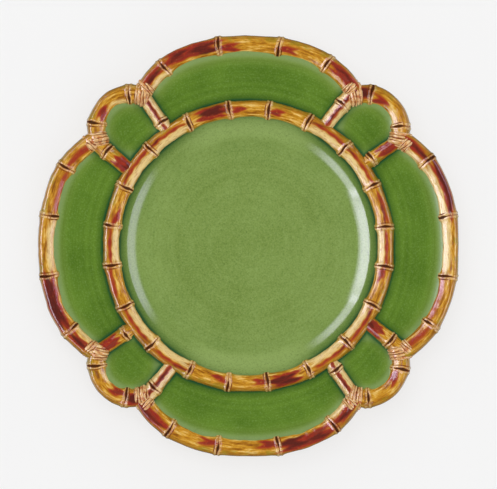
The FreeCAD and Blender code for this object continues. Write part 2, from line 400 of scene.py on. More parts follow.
def groove_paint(local, x, index, count, seed):
    """Dark line in each knuckle, strong over part of its width, and a fainter second line."""
    limits = (-0.7, 0.5), (0.5, 1.0)
    middle, reach = np.random.default_rng(seed + 5).uniform(*limits, (count, 2)).T
    spread = bell(x - middle[index][:, None], reach[index][:, None])
    line = bell(local, 0.38 + 0.6 * spread**2) * (0.38 + 0.62 * spread)
    second = np.random.default_rng(seed + 9).choice((-2.3, 2.3), count)
    return line + 0.62 * bell(local - second[index][:, None], 0.4) * spread


def cane_grid(path, z, section, knuckle_runs, seed, knuckle_size=1.0, crest=CREST):
    """Surface of one cane, and where its paint lies lengthwise, across and in height."""
    points, outward, run = path
    half_width, height_above, depth_below = section
    gap, index = nearest_knuckle(run, knuckle_runs)
    around = np.linspace(0, 2 * math.pi, AROUND, endpoint=False)
    # A knuckle sits slightly askew on the cane and is wavy across it.
    skew = np.random.default_rng(seed + 7).uniform(-0.5, 0.5, len(knuckle_runs))
    local = gap[:, None] + skew[index][:, None] * np.cos(around) + 0.22 * np.sin(3 * around)
    belly = 0.3 * (1 - internode_share(run, knuckle_runs))[:, None]
    swell = knuckle_shape(local, around) * knuckle_size + belly
    lumps = wander(run, seed, 17.0, 0.10)[:, None] * np.cos(around + seed)
    streaks = 0.04 * np.sin(11 * around + wander(run, seed + 3, 30.0, 0.8)[:, None])
    x, top, bottom = section_outline(around, crest)
    lateral = (half_width + swell + lumps + streaks) * x
    height = (height_above + swell + lumps + streaks) * top + (depth_below + swell) * bottom
    drift = wander(run, seed + 11, 45.0, 0.12)
    grid = np.empty(lateral.shape + (3,))
    grid[..., :2] = points[:, None] + outward[:, None] * (lateral + drift[:, None])[..., None]
    grid[..., 2] = np.asarray(z).reshape(-1, 1) + height
    groove = groove_paint(local, x, index, len(knuckle_runs), seed)
    return grid, {
        "run": run[:, None] + CANE_OFFSET * seed,
        "side": lateral / half_width,
        "rise": np.sin(around),
        "groove": groove * ramp(height, -2.5, 0.0),
        "near": np.abs(local),
    }


# ------------ paint

# Strokes: quarters, start and end angle, inner and outer side (-1 to 1), strength.
# Angles are those of the first quarter's cane; red lies over the amber ground,
# maroon over red, and straw lightens the ground. On the canes at the left and right
# the straw is also a painted reflection of the side lights on their inner flanks.
ALL = (1, 2, 3, 4)
ODD = (1, 3)
EVEN = (2, 4)

RING_RED = (
    (ALL, 46, 64, -0.08, 0.36, 0.85),
    ((1, 2, 4), 47, 50, 0.0, 0.5, 0.7),
    (ALL, 75, 81, -0.6, 0.2, 0.9),
    (ODD, 92, 97.5, -0.5, 0.3, 0.9),
    (EVEN, 82, 97.5, -0.08, 0.34, 0.9),
    (ODD, 99, 111, -0.7, 0.8, 0.9),
    (EVEN, 98, 112, 0.0, 0.6, 0.7),
    (ALL, 117, 135, -0.05, 0.36, 0.85),
)
RING_MAROON = (
    (ALL, 58, 64, 0.05, 0.4, 0.75),
    (ODD, 99.5, 110, -0.4, 0.7, 0.8),
    ((4,), 99, 111, 0.0, 0.4, 0.6),
    (ALL, 130, 135, 0.0, 0.4, 0.7),
    (EVEN, 91, 97, 0.0, 0.2, 0.4),
)
RING_STRAW_AND_SHEEN = (
    (ALL, 46, 64, -1.0, -0.1, 0.8),
    (ALL, 117, 135, -1.0, -0.1, 0.8),
    # At the left and right, the ring's straw is a painted reflection of the side lights.
    (EVEN, 82, 98, -1.0, -0.1, 0.9),
)
RIM_RED = (
    (ODD, -24, -9, -0.85, -0.2, 0.6),
    (EVEN, -14, -9, -0.7, 0.1, 0.9),
    (EVEN, 3, 8, -0.8, 0.1, 1.0),
    ((1,), 8.5, 25.0, -0.05, 0.8, 0.9),
    ((2, 3, 4), 8.5, 25.0, -0.6, 0.8, 0.9),
    ((3,), -8, 8, -0.72, -0.6, 0.55),
    (ALL, 25.5, 34.5, -0.35, 0.6, 0.9),
    (EVEN, -34.5, -24, -0.4, 0.8, 0.9),
    (ODD, -34.5, -24, -0.6, 0.2, 0.7),
)
RIM_MAROON = (
    ((1,), 9, 24, 0.1, 0.75, 0.85),
    ((3,), 9, 24, -0.4, 0.7, 0.8),
    (EVEN, 9.5, 16, -0.6, 0.6, 0.8),
    (EVEN, 18, 23, -0.1, 0.7, 0.7),
    (ALL, 26, 34, -0.1, 0.4, 0.8),
    (EVEN, -34, -25, 0.1, 0.6, 0.7),
)
RIM_STRAW_AND_SHEEN = (
    (ALL, 25.5, 35, -1.0, -0.5, 0.9),
    # Quarters 1 and 3 are the right and left rim: their straw here is a painted reflection of the side
    # lights.
    ((1,), -8, 25, -1.0, -0.05, 0.9),
    ((3,), -8, 8, -1.0, -0.1, 0.85),
)
CORNER_RED = ((ALL, 46, 50, -0.8, 0.1, 1.0), (ODD, 51, 55, -0.6, 0.8, 0.9))
CORNER_MAROON = ((ODD, 51.3, 54.5, -0.5, 0.6, 0.9),)
CORNER_STRAW = (((1, 2, 3), 38, 44, -1.0, -0.3, 0.6),)
STRUT_RED = (
    (ODD, 106, 122, -0.8, 0.9, 0.9),
    (EVEN, 93, 122, -0.25, 0.3, 1.0),
)
STRUT_FAR_RED = (
    (ODD, 93, 122, -0.3, 0.3, 1.0),
    (EVEN, 93, 106, -0.8, 0.9, 0.9),
)
STRUT_MAROON = ((EVEN, 100, 119, -0.12, 0.22, 0.8),)
STRUT_FAR_MAROON = ((ODD, 98, 119, -0.15, 0.2, 0.8), (EVEN, 93, 99, -0.5, 0.6, 0.7))
STRUT_STRAW = ((EVEN, 90, 122, -1.0, 1.0, 0.8),)
STRUT_FAR_STRAW = ((ODD, 90, 122, -1.0, 1.0, 0.8),)


def painted(strokes, quarter, where, side, seed):
    """Strength of one pigment over a cane, from its strokes with ragged edges."""
    random = np.random.default_rng(seed)
    total = np.zeros(side.shape)
    for quarters, start, end, inner, outer, strength in strokes:
        if quarter not in quarters:
            continue
        edge = min(0.3 * (end - start) + 0.2, 2.6)  # softness of a stroke's two ends
        shift = random.uniform(-0.08, 0.08)
        inner_edge = inner + shift + 0.05 * np.sin(where * 1.3 + random.uniform(0, 6))
        outer_edge = outer + shift + 0.05 * np.sin(where * 0.9 + random.uniform(0, 6))
        ragged = where + 0.7 * edge * np.sin(side * 7.0 + random.uniform(0, 6))
        along = ramp(ragged, start - edge, start + edge) * (1 - ramp(ragged, end - edge, end + edge))
        across = ramp(side, inner_edge - 0.2, inner_edge + 0.2)
        across = across * (1 - ramp(side, outer_edge - 0.35, outer_edge + 0.35))
        total = np.maximum(total, strength * along * across)
    return total


def add_paint(attributes, table, quarter, where, seed):
    """Adds the red, maroon and straw layers to a cane's attributes; the straw layer also holds painted
    reflection.
    """
    where = np.broadcast_to(where[:, None], attributes["side"].shape)
    for number, (pigment, strokes) in enumerate(zip(("red", "maroon", "straw_and_sheen"), table)):
        attributes[pigment] = painted(strokes, quarter, where, attributes["side"], seed + number)


# ------------ body and glaze


def upper_profile():
    """Distances and heights along the upper side, from its slopes."""
    knots, slopes = np.array(UPPER_SLOPES).T
    radius = np.linspace(0.0, knots[-1], 2400)
    slope = np.interp(radius, knots, slopes)
    smoothing = 12
    window = np.hanning(2 * smoothing + 1)
    padded = np.pad(slope, smoothing, mode="edge")
    slope = np.convolve(padded, window / window.sum(), "valid")
    rise = np.tan(np.radians(slope)) * (radius[1] - radius[0])
    return radius, FLOOR_Z + np.cumsum(rise)


UPPER = upper_profile()


def section_height(radius, raise_by=0.0):
    """Height of the turned upper surface at a distance from the axis."""
    return np.interp(radius, *UPPER) + raise_by


def under_height(radius):
    """Height of the turned underside at a distance from the axis."""
    slope = math.radians(WALL_SLOPE)
    rim_slope = math.radians(RIM_SLOPE)
    outer = BEND_RADIUS + WALL
    sine = np.clip((radius - FLOOR_RADIUS) / outer, 0.0, math.sin(slope))
    bend = FLOOR_Z - WALL + outer * (1 - np.sqrt(1 - sine**2))
    foot = FLOOR_RADIUS + outer * math.sin(slope)
    shoulder = SHOULDER + WALL * math.tan((slope + rim_slope) / 2)
    wall = np.clip(radius - foot, 0.0, shoulder - foot) * math.tan(slope)
    rim = np.maximum(radius - shoulder, 0.0) * math.tan(rim_slope)
    return bend + wall + rim


def outline_distance(angles):
    """Distance from the axis to the rim canes' centreline, for angles in degrees."""
    side = np.abs(fold(np.asarray(angles)))
    joint_angle = float(angle_of(JOINT))

    def reach(centre, radius, at):
        ray = polar(1.0, at)
        along = ray @ np.asarray(centre)
        return along + np.sqrt(np.maximum(along**2 - np.dot(centre, centre) + radius**2, 0.0))

    middle = np.full(side.shape, RIM_RADIUS)
    end = reach(END_CENTRE, LOBE_END_RADIUS, side)
    corner = reach(CORNER_CENTRE, CORNER_RADIUS, side)
    return np.where(side < LOBE_HALF, middle, np.where(side < joint_angle, end, corner))


def relief_gap(points):
    """Distances in plan to the edge of the rim canes, ring canes and struts."""
    radius = np.hypot(points[..., 0], points[..., 1])
    side = np.abs(fold(angle_of(points)))
    folded = polar(radius, side)
    in_corner = side > STRUTS[0][0]
    to_end = LOBE_END_RADIUS - np.hypot(*(folded - END_CENTRE).T).T
    to_corner = CORNER_RADIUS - np.hypot(*(folded - CORNER_CENTRE).T).T
    to_middle = RIM_RADIUS - radius
    to_rim = np.where(in_corner, to_corner, np.where(side < LOBE_HALF, to_middle, to_end))
    to_ring = np.abs(radius - RING_RADIUS)
    to_rim = np.where(radius < RING_RADIUS, FAR, to_rim)
    nearest = np.full(radius.shape, FAR)
    first = polar(radius, fold(angle_of(points), 10.0))
    for ring_angle, outer_angle, half_width, _ in STRUTS:
        start, end = polar(RING_RADIUS, ring_angle), polar(STRUT_OUTER, outer_angle)
        unit = (end - start) / np.hypot(*(end - start))
        offset = first - start
        along = offset @ unit
        aside = np.abs(offset @ np.array([-unit[1], unit[0]]))
        beyond = np.maximum(along - STRUT_OUTER + RING_RADIUS, 0.0) + np.maximum(-along, 0.0)
        nearest = np.minimum(nearest, np.hypot(aside, beyond) - half_width)
    nearest = np.where(radius < RING_RADIUS, FAR, nearest)
    return to_rim - RIM_SECTION[0], to_ring - RING_SECTION[0], nearest


def closed_skin(plan, top, low):
    """Loops of points out along the top and back along the underside."""
    upper = np.concatenate([plan, top[..., None]], -1)
    lower = np.concatenate([plan, low[..., None]], -1)
    return np.concatenate([upper, lower[:, ::-1]], 1)


def there_and_back(values):
    """Values out along the top, and the same back along the underside."""
    return np.concatenate([values, values[:, ::-1]], 1)


def glaze_shell(angles, inner, outer, rows, radial_sweep):
    """Closed skin of glaze over part of the body, and how near the relief lies."""
    share = np.linspace(0.0, 1.0, rows)
    radius = inner[:, None] + (outer - inner)[:, None] * share
    plan = polar(radius, angles[:, None])
    to_rim, to_ring, to_strut = relief_gap(plan)
    climb = np.maximum(FILLET - np.maximum(to_rim, -1.0), 0.0) ** 2 / (2 * FILLET) * FILLET_SLOPE
    climb = np.where(radius > RING_RADIUS, climb, 0.0)
    top = section_height(radius, GLAZE) + climb
    low = section_height(radius) - GLAZE_BELOW
    loop = closed_skin(plan, top, low)
    near = there_and_back(np.minimum(to_ring + 0.3, to_strut))
    far = there_and_back(to_rim)
    if radial_sweep:
        loop, near, far = (np.swapaxes(value, 0, 1) for value in (loop, near, far))
    return loop, {"gap": near, "rim_gap": far}


def make_well_glaze():
    """Glaze of the well, out to under the ring canes."""
    angles = np.linspace(0, 360, WELL_ANGLES, endpoint=False)
    inner = np.full(WELL_ANGLES, WELL_MIDDLE)
    outer = np.full(WELL_ANGLES, RING_RADIUS - OUTER_TUCK)
    return [glaze_shell(angles, inner, outer, WELL_ROWS, True)]


def make_field_glaze(start, end, quarter):
    """Glaze of one lobe between two struts, from under the ring to under the rim canes."""
    angles = np.linspace(start, end, int((end - start) * LOBE_ANGLES))
    inner = np.full(len(angles), RING_RADIUS + INNER_TUCK)
    outer = outline_distance(angles) - OUTER_TUCK
    grid, attributes = glaze_shell(angles, inner, outer, LOBE_ROWS, False)
    return [(turn(grid, quarter), attributes)]


def make_body():
    """The turned body out to the middle of the rim canes, under the glaze."""
    angles = np.linspace(0, 360, BODY_ANGLES, endpoint=False)
    edge = outline_distance(angles) - BODY_TUCK
    share = np.linspace(0.004, 1.0, BODY_ROWS)
    radius = edge[:, None] * share
    plan = polar(radius, angles[:, None])
    top = section_height(radius) - BODY_BELOW
    # The underside thins a little towards the edge, as a trimmed rim does.
    low = under_height(radius) + RIM_THINNING * ramp(radius, *THINNING_SPAN)
    loop = np.swapaxes(closed_skin(plan, top, low), 0, 1)
    # Along the underside these run the wrong way, from the middle out: a known fault.
    edge_gap = np.swapaxes(np.concatenate([edge[:, None] - radius] * 2, 1), 0, 1)
    return [(loop, {"edge_gap": edge_gap})]


# ------------ lashings


def lashing_sleeve(path, z, half_width, half_height, depth, slant, seed):
    """A wrapped bundle of cord: a sleeve with one ridge for each turn."""
    points, outward, run = path
    around = np.linspace(0, 2 * math.pi, AROUND, endpoint=False)
    phase = (run[:, None] + slant * np.cos(around)) / TURN_SPACING
    phase = phase + 0.16 * np.sin(1.9 * run[:, None] + seed) + 0.1 * np.sin(2 * around + 2 * seed)
    ridge = np.abs(np.sin(math.pi * phase)) ** 0.7 * depth
    ridge = ridge * (1 + 0.25 * np.sin(np.floor(phase) * 2.4 + seed))
    wide = (half_width[:, None] + ridge) * np.cos(around)
    high = (half_height[:, None] + ridge) * np.sin(around)
    grid = np.empty(wide.shape + (3,))
    grid[..., :2] = points[:, None] + outward[:, None] * wide[..., None]
    grid[..., 2] = z[:, None] + high
    valley = 1 - np.abs(np.sin(math.pi * phase))
    return grid, {
        "run": run[:, None] + CORD_OFFSET * seed,
        "side": np.cos(around),
        "valley": valley**2,
    }


def wrap_path():
    """From the corner cane's end, through the joint and straight on inward."""
    back = math.degrees(WRAP_BEFORE / CORNER_RADIUS)
    angles = np.linspace(CORNER_START + back, CORNER_START, 22)
    points = CORNER_CENTRE + polar(CORNER_RADIUS, angles)
    tangent = polar(1.0, CORNER_START - 90.0)
    steps = np.linspace(0.0, WRAP_BEYOND, 40)[1:, None]
    points = np.concatenate([points, JOINT + tangent * steps])
    straight = np.tile(polar(1.0, CORNER_START), (len(steps), 1))
    return points, np.concatenate([polar(1.0, angles), straight]), run_along(points)


def make_lashing(mirrored, seed):
    """Binding over the first quarter's joint: one bundle and slanted rim turns."""
    points, outward, run = wrap_path()
    share = run / run[-1]
    taper = np.sqrt(np.clip(1 - np.maximum(share - 0.45, 0.0) ** 2 / 0.31, 0.02, 1.0))
    ends = np.minimum(1.0, 0.86 + share * 2.0)
    wide = (6.6 * taper - 0.3) * ends
    high = (6.3 * taper - 0.2) * ends
    bundle_z = RIM_Z - 1.4 * ramp(share, 0.4, 1.0)
    shifted = points - outward * (1.2 * ramp(share, 0.3, 1.0))[:, None]
    path = (shifted, outward, run)
    bundle = lashing_sleeve(path, bundle_z, wide, high, depth=0.85, slant=0.6, seed=seed)
    start, end = (LOBE_END_ANGLE - math.degrees(reach / LOBE_END_RADIUS) for reach in RIM_TURNS)
    path = arc_path(((END_CENTRE, LOBE_END_RADIUS, start, end),), 0.15)
    count = len(path[2])
    ends = 0.82 + 0.18 * np.sin(math.pi * np.linspace(0, 1, count)) ** 0.4
    turns_z = np.full(count, RIM_Z)
    wide, high = 5.8 * ends, 5.9 * ends
    turns = lashing_sleeve(path, turns_z, wide, high, depth=0.8, slant=1.6, seed=seed + 2)
    lofts = []
    for grid, attributes in (bundle, turns):
        lofts.append((mirror_corner(grid) if mirrored else grid, attributes))
    return lofts


# ------------ materials


class Nodes:
    """Short names for building a node tree."""

    def __init__(self, name, owner=None):
        self.owner = owner or bpy.data.materials.new(name)
        self.owner.use_nodes = True
        self.tree = self.owner.node_tree
        self.surface = self.tree.nodes.get("Principled BSDF")

    def put(self, socket, value):
        """Links a socket to another, or sets its value."""
        if isinstance(value, bpy.types.NodeSocket):
            self.tree.links.new(value, socket)
        else:
            socket.default_value = value

    def node(self, kind, *inputs, **settings):
        """Outputs of a new node, whose first inputs are set or linked."""
        node = self.tree.nodes.new("ShaderNode" + kind)
        for key, value in settings.items():
            setattr(node, key, value)
        for socket, value in zip(node.inputs, inputs):
            self.put(socket, value)
        return node.outputs

    def attribute(self, name):
        return self.node("Attribute", attribute_name=name)["Fac"]

    def math(self, operation, a, b=0.0):
        return self.node("Math", a, b, operation=operation)[0]

    def times(self, a, b):
        return self.math("MULTIPLY", a, b)

    def plus(self, a, b):
        return self.math("ADD", a, b)

    def step(self, value, low, high, to_low=0.0, to_high=1.0):
        """Smooth step of a value between two limits."""
        limits = (value, low, high, to_low, to_high)
        return self.node("MapRange", *limits, interpolation_type="SMOOTHSTEP")["Result"]

    def split(self, vector):
        """The three parts of a vector."""
        return self.node("SeparateXYZ", vector)

    def vector(self, x, y, z=0.0):
        return self.node("CombineXYZ", x, y, z)[0]

    def stretched(self, run, side, rise, along, across):
        """Coordinates round a cane, at one scale lengthwise and another across it."""
        return self.vector(
            self.times(run, along), self.times(side, across), self.times(rise, across))

    def place(self):
        """Position on the object in millimetres."""
        place = self.node("TexCoord")["Object"]
        return self.node("VectorMath", place, (1 / MM,) * 3, operation="MULTIPLY")[0]

    def off_axis(self, place):
        """Distance of a place from the plate's axis."""
        parts = self.split(place)
        plan = self.vector(parts["X"], parts["Y"])
        return self.node("VectorMath", plan, operation="LENGTH")["Value"]

    def noise(self, vector, scale, detail=4.0, roughness=0.6):
        return self.node("TexNoise", vector, 0.0, scale, detail, roughness)["Fac"]

    def cracks(self, vector, scale, width):
        """Thin lines of a crackled glaze."""
        edges = self.node("TexVoronoi", vector, 0.0, scale, feature="DISTANCE_TO_EDGE")
        return self.step(edges["Distance"], 0.0, width, 1.0, 0.0)

    def mix(self, factor, a, b):
        node = self.tree.nodes.new("ShaderNodeMix")
        node.data_type = "RGBA"
        self.put(node.inputs[0], factor)
        self.put(node.inputs[6], a)
        self.put(node.inputs[7], b)
        return node.outputs[2]

    def ramp(self, value, stops):
        """Colour by value, from stops given as (value, colour)."""
        node = self.tree.nodes.new("ShaderNodeValToRGB")
        points = node.color_ramp.elements
        while len(points) < len(stops):
            points.new(0.5)
        for point, (position, colour) in zip(points, stops):
            point.position = position
            point.color = colour
        self.put(node.inputs[0], value)
        return node.outputs[0]

    def bump(self, height, distance):
        """Fine relief of the surface, its depth given in millimetres."""
        node = self.tree.nodes.new("ShaderNodeBump")
        node.inputs["Distance"].default_value = distance * MM
        self.put(node.inputs["Height"], height)
        self.put(self.surface.inputs["Normal"], node.outputs[0])

    def finish(self, colour, roughness, coat=0.0, specular=0.5):
        """Sets the shader's inputs and gives the finished material."""
        self.put(self.surface.inputs["Base Color"], colour)
        self.put(self.surface.inputs["Roughness"], roughness)
        self.put(self.surface.inputs["Specular IOR Level"], specular)
        self.put(self.surface.inputs["Coat Weight"], coat)
        self.surface.inputs["IOR"].default_value = 1.55
        self.surface.inputs["Coat Roughness"].default_value = 0.04
        return self.owner


def rgb(red, green, blue):
    """A colour given as 0-255 display values, as linear light."""
    parts = [value / 255 for value in (red, green, blue)]
    linear = [p / 12.92 if p <= 0.04045 else ((p + 0.055) / 1.055) ** 2.4 for p in parts]
    return (*linear, 1.0)


GROUND = (
    (0.30, rgb(136, 80, 12)),
    (0.44, rgb(184, 124, 24)),
    (0.56, rgb(208, 152, 42)),
    (0.72, rgb(238, 202, 116)),
)
BLUSH = (
    (0.15, rgb(190, 116, 28)),
    (0.45, rgb(168, 80, 22)),
    (0.75, rgb(156, 38, 28)),
    (1.00, rgb(126, 26, 26)),
)
# Painted shade on the canes' outer flanks.
OUTER_PAINTED_SHADE = rgb(144, 98, 20)
UNDER_BROWN = rgb(150, 84, 26)
OLIVE = rgb(140, 130, 26)
OLIVE_EDGE = rgb(140, 124, 44)
FINE_BROWN = rgb(146, 80, 22)
# Cream of the straw paint, also used for painted reflection.
STRAW_AND_SHEEN = rgb(232, 206, 142)
STRAW_LINE = rgb(176, 106, 40)
GOLD = rgb(190, 106, 34)
MAROON = rgb(86, 29, 20)
# Cream of the knuckle beads, lightened as a painted highlight.
LIP_AND_HIGHLIGHT = rgb(238, 202, 148)
GROOVE_EDGE = rgb(132, 64, 22)
GROOVE_DARK = rgb(50, 16, 8)

CORD_TAN = rgb(206, 142, 74)
CORD_CREAM = rgb(236, 204, 152)
CORD_RUST = rgb(176, 84, 36)
CORD_BROWN = rgb(122, 56, 24)

FLOOR_GREENS = rgb(113, 138, 62), rgb(125, 150, 75)
WALL_GREENS = rgb(118, 145, 69), rgb(133, 158, 82)
LOBE_GREENS = rgb(76, 109, 27), rgb(96, 130, 41)
WALL_TOP = rgb(118, 146, 70)
# Paler green for the two ends of the well's wall: painted light.
WALL_END_PAINTED_LIGHT = rgb(142, 167, 92)
LIGHT_GRAIN = rgb(150, 176, 104)
DARK_GRAIN = rgb(62, 90, 26)
RIM_PALE = rgb(132, 154, 74)
RIM_LINE = rgb(176, 196, 164)
POOL_GREEN = rgb(54, 92, 26)
POOL_BLUE = rgb(20, 74, 46)
CRACK_GREEN = rgb(46, 74, 18)

CREAMS = rgb(226, 214, 184), rgb(238, 229, 205)
CLAYS = rgb(206, 186, 156), rgb(224, 208, 182)
BACK_SPECK = rgb(176, 142, 92)
BACK_AMBER = rgb(196, 156, 88)
BACK_CRACK = rgb(170, 140, 98)


def cane_ground(n, side, rise, broad, fine, ragged):
    """Amber ground with painted shade on its outer flank, browner below, with olive patches on its upper
    half.
    """
    colour = n.ramp(n.plus(broad, n.times(ragged, 0.4)), GROUND)
    upper = n.step(rise, -0.1, 0.3)
    # Painted shade: the upper part of the outer flank is painted darker brown.
    painted_shade = n.times(n.step(side, 0.2, 0.95), n.step(rise, -0.1, 0.3, 0.25, 0.7))
    colour = n.mix(painted_shade, colour, OUTER_PAINTED_SHADE)
    colour = n.mix(n.step(rise, -0.3, -0.9, 0.0, 0.5), colour, UNDER_BROWN)
    patches = n.step(n.noise(n.place(), 0.11, 2.0), 0.5, 0.62)
    olive = n.times(n.times(n.step(side, 0.1, 0.5), patches), upper)
    colour = n.mix(n.times(olive, 0.5), colour, OLIVE)
    edge = n.times(n.step(n.math("ABSOLUTE", side), 0.84, 1.0), upper)
    colour = n.mix(n.times(edge, 0.5), colour, OLIVE_EDGE)
    return n.mix(n.step(fine, 0.45, 0.35, 0.0, 0.45), colour, FINE_BROWN)


def cane_strokes(n, colour, fine, spots, ragged):
    """Straw, red and maroon brush strokes over the ground; the straw also lays a painted reflection on
    the left and right canes.
    """
    # Straw paint and painted reflection lighten the ground.
    straw_and_sheen = n.plus(n.attribute("straw_and_sheen"), ragged)
    colour = n.mix(n.step(straw_and_sheen, 0.1, 0.9, 0.0, 0.85), colour, STRAW_AND_SHEEN)
    lines = n.times(n.step(fine, 0.46, 0.36), n.step(straw_and_sheen, 0.2, 0.8))
    colour = n.mix(n.times(lines, 0.6), colour, STRAW_LINE)
    red = n.times(n.attribute("red"), n.plus(1.0, n.times(ragged, 1.7)))
    colour = n.mix(n.step(red, 0.0, 0.65, 0.0, 0.95), colour, n.ramp(red, BLUSH))
    gold = n.times(n.step(red, 0.3, 0.7), n.step(spots, 0.58, 0.72, 0.0, 0.45))
    colour = n.mix(gold, colour, GOLD)
    maroon = n.times(n.attribute("maroon"), n.plus(1.0, n.times(ragged, 1.5)))
    return n.mix(n.step(maroon, 0.1, 0.9, 0.0, 0.95), colour, MAROON)


def cane_material():
    """Brushed bamboo colours under a clear glossy glaze, dark at the knuckles, with cream beads that are
    partly a painted highlight.
    """
    n = Nodes("cane_glaze")
    run, side, rise = n.attribute("run"), n.attribute("side"), n.attribute("rise")
    broad = n.noise(n.stretched(run, side, rise, 0.10, 2.8), 1.0, 5.0, 0.6)
    fine = n.noise(n.stretched(run, side, rise, 0.28, 8.0), 1.0, 4.0, 0.6)
    spots = n.noise(n.place(), 0.55, 3.0, 0.55)
    ragged = n.plus(n.times(broad, 0.7), n.times(fine, 0.5))
    ragged = n.math("SUBTRACT", ragged, 0.6)
    colour = cane_ground(n, side, rise, broad, fine, ragged)
    colour = cane_strokes(n, colour, fine, spots, ragged)
    # Cream beads beside each knuckle: cream paint and a painted highlight on the raised beads.
    lip_and_highlight = n.times(n.step(n.attribute("near"), 2.2, 1.3), n.step(fine, 0.36, 0.6, 0.1, 1.0))
    lip_and_highlight = n.times(lip_and_highlight, n.step(spots, 0.4, 0.6, 0.3, 0.75))
    colour = n.mix(lip_and_highlight, colour, LIP_AND_HIGHLIGHT)
    groove = n.plus(n.attribute("groove"), n.times(ragged, 1.1))
    stain = n.mix(n.step(groove, 0.3, 0.75), GROOVE_EDGE, GROOVE_DARK)
    colour = n.mix(n.step(groove, 0.12, 0.45, 0.0, 0.95), colour, stain)
    n.bump(n.plus(n.times(fine, 0.7), spots), 0.12)
    shine = n.step(groove, 0.15, 0.5, 1.0, 0.0)
    roughness = n.step(fine, 0.3, 0.7, 0.06, 0.11)
    return n.finish(colour, roughness, n.times(shine, 0.25), n.times(shine, 0.5))


def lashing_material():
    """Cream and tan cord with brown between its turns."""
    n = Nodes("lashing_glaze")
    run, side = n.attribute("run"), n.attribute("side")
    strands = n.noise(n.vector(n.times(run, 0.9), n.times(side, 1.5)), 1.0, 4.0)
    spots = n.noise(n.place(), 0.4, 3.0)
    colour = n.mix(n.step(strands, 0.35, 0.65), CORD_TAN, CORD_CREAM)
    colour = n.mix(n.step(spots, 0.5, 0.66, 0.0, 0.8), colour, CORD_RUST)
    valley = n.plus(n.attribute("valley"), n.times(spots, 0.5))
    colour = n.mix(n.step(valley, 0.5, 0.95, 0.0, 0.95), colour, CORD_BROWN)
    n.bump(strands, 0.1)
    shine = n.step(valley, 0.5, 0.9, 1.0, 0.1)
    roughness = n.step(spots, 0.3, 0.7, 0.07, 0.13)
    return n.finish(colour, roughness, n.times(shine, 0.25), n.times(shine, 0.5))


def green_ground(n, radius, ends, patches):
    """Grey-green floor of the well, paler wall with painted light at its two ends, and deeper green
    lobes.
    """
    well = n.mix(n.step(radius, 48.0, 72.0), n.mix(patches, *FLOOR_GREENS), n.mix(patches, *WALL_GREENS))
    well = n.mix(n.step(radius, 79.0, 84.5), well, WALL_TOP)
    # Painted light: the wall is painted paler at the two ends.
    well = n.mix(n.times(ends, n.step(radius, 70.0, 76.0)), well, WALL_END_PAINTED_LIGHT)
    return n.mix(n.step(radius, *UNDER_RING), well, n.mix(patches, *LOBE_GREENS))


def green_pools(n, colour, radius, ends, cloud):
    """Glaze pooled against ring and struts, its pools lightened at the two ends of the well as painted
    light.
    """
    near = n.plus(n.attribute("gap"), n.times(n.math("SUBTRACT", cloud, 0.5), 3.0))
    # Painted light: the pools are lightened at the two ends of the well.
    pooled = n.plus(n.times(ends, n.step(radius, 89.0, 88.0, 0.0, -0.75)), 1.0)
    broad_pool = n.times(n.step(near, 7.0, 0.5, 0.0, 0.6), pooled)
    fine_pool = n.times(n.step(near, 2.6, 0.4, 0.0, 0.85), pooled)
    colour = n.mix(broad_pool, colour, POOL_GREEN)
    return n.mix(fine_pool, colour, POOL_BLUE)


def green_material():
    """Translucent green glaze that pools darker and bluer against the relief."""
    n = Nodes("green_glaze")
    place = n.place()
    radius = n.off_axis(place)
    cloud = n.noise(place, 0.035, 4.0, 0.6)
    grain = n.noise(place, 0.9, 4.0, 0.7)
    rings = n.noise(n.vector(radius, 0.0), 0.22, 3.0, 0.7)
    patches = n.step(n.plus(n.times(cloud, 0.5), n.times(rings, 0.5)), 0.35, 0.65)
    # Painted light: at the far and near ends the well's wall is painted paler and its pools lighter. By
    # the rim the pale band is stronger at the far end.
    northing = n.math("DIVIDE", n.split(place)["Y"], radius)
    ends = n.step(n.math("ABSOLUTE", northing), 0.8, 0.97)
    colour = green_ground(n, radius, ends, patches)
    depth = n.step(radius, *UNDER_RING, 0.36, 0.2)
    colour = n.mix(n.times(n.step(grain, 0.48, 0.7), depth), colour, LIGHT_GRAIN)
    colour = n.mix(n.times(n.step(grain, 0.5, 0.3), depth), colour, DARK_GRAIN)
    thin = n.plus(n.attribute("rim_gap"), n.times(cloud, 4.0))
    pale = n.times(n.step(thin, 12.0, 2.0), n.step(northing, 0.6, 0.95, 0.42, 0.64))
    colour = n.mix(pale, colour, RIM_PALE)
    colour = n.mix(n.step(n.attribute("rim_gap"), 4.5, 0.3, 0.0, 0.18), colour, RIM_LINE)
    colour = green_pools(n, colour, radius, ends, cloud)
    colour = n.mix(n.times(n.cracks(place, 0.28, 0.03), 0.14), colour, CRACK_GREEN)
    n.bump(n.plus(rings, cloud), 0.10)
    coat = n.step(radius, *UNDER_RING, 0.2, 0.0)
    specular = n.step(radius, *UNDER_RING, 0.5, 0.22)
    return n.finish(colour, n.step(grain, 0.3, 0.7, 0.07, 0.12), coat, specular)


def back_material():
    """Crackled cream glaze of the underside; its amber tint falls on the middle, by mistake."""
    n = Nodes("cream_glaze")
    place = n.place()
    cloud = n.noise(place, 0.04, 4.0)
    speck = n.noise(place, 0.8, 3.0, 0.7)
    colour = n.mix(n.step(cloud, 0.35, 0.65), *CREAMS)
    colour = n.mix(n.step(speck, 0.66, 0.76, 0.0, 0.5), colour, BACK_SPECK)
    edge = n.plus(n.attribute("edge_gap"), n.times(cloud, 6.0))
    colour = n.mix(n.step(edge, 14.0, 4.0, 0.0, 0.45), colour, BACK_AMBER)
    colour = n.mix(n.times(n.cracks(place, 0.16, 0.03), 0.4), colour, BACK_CRACK)
    n.bump(cloud, 0.2)
    return n.finish(colour, n.step(speck, 0.3, 0.7, 0.14, 0.24), 0.2)


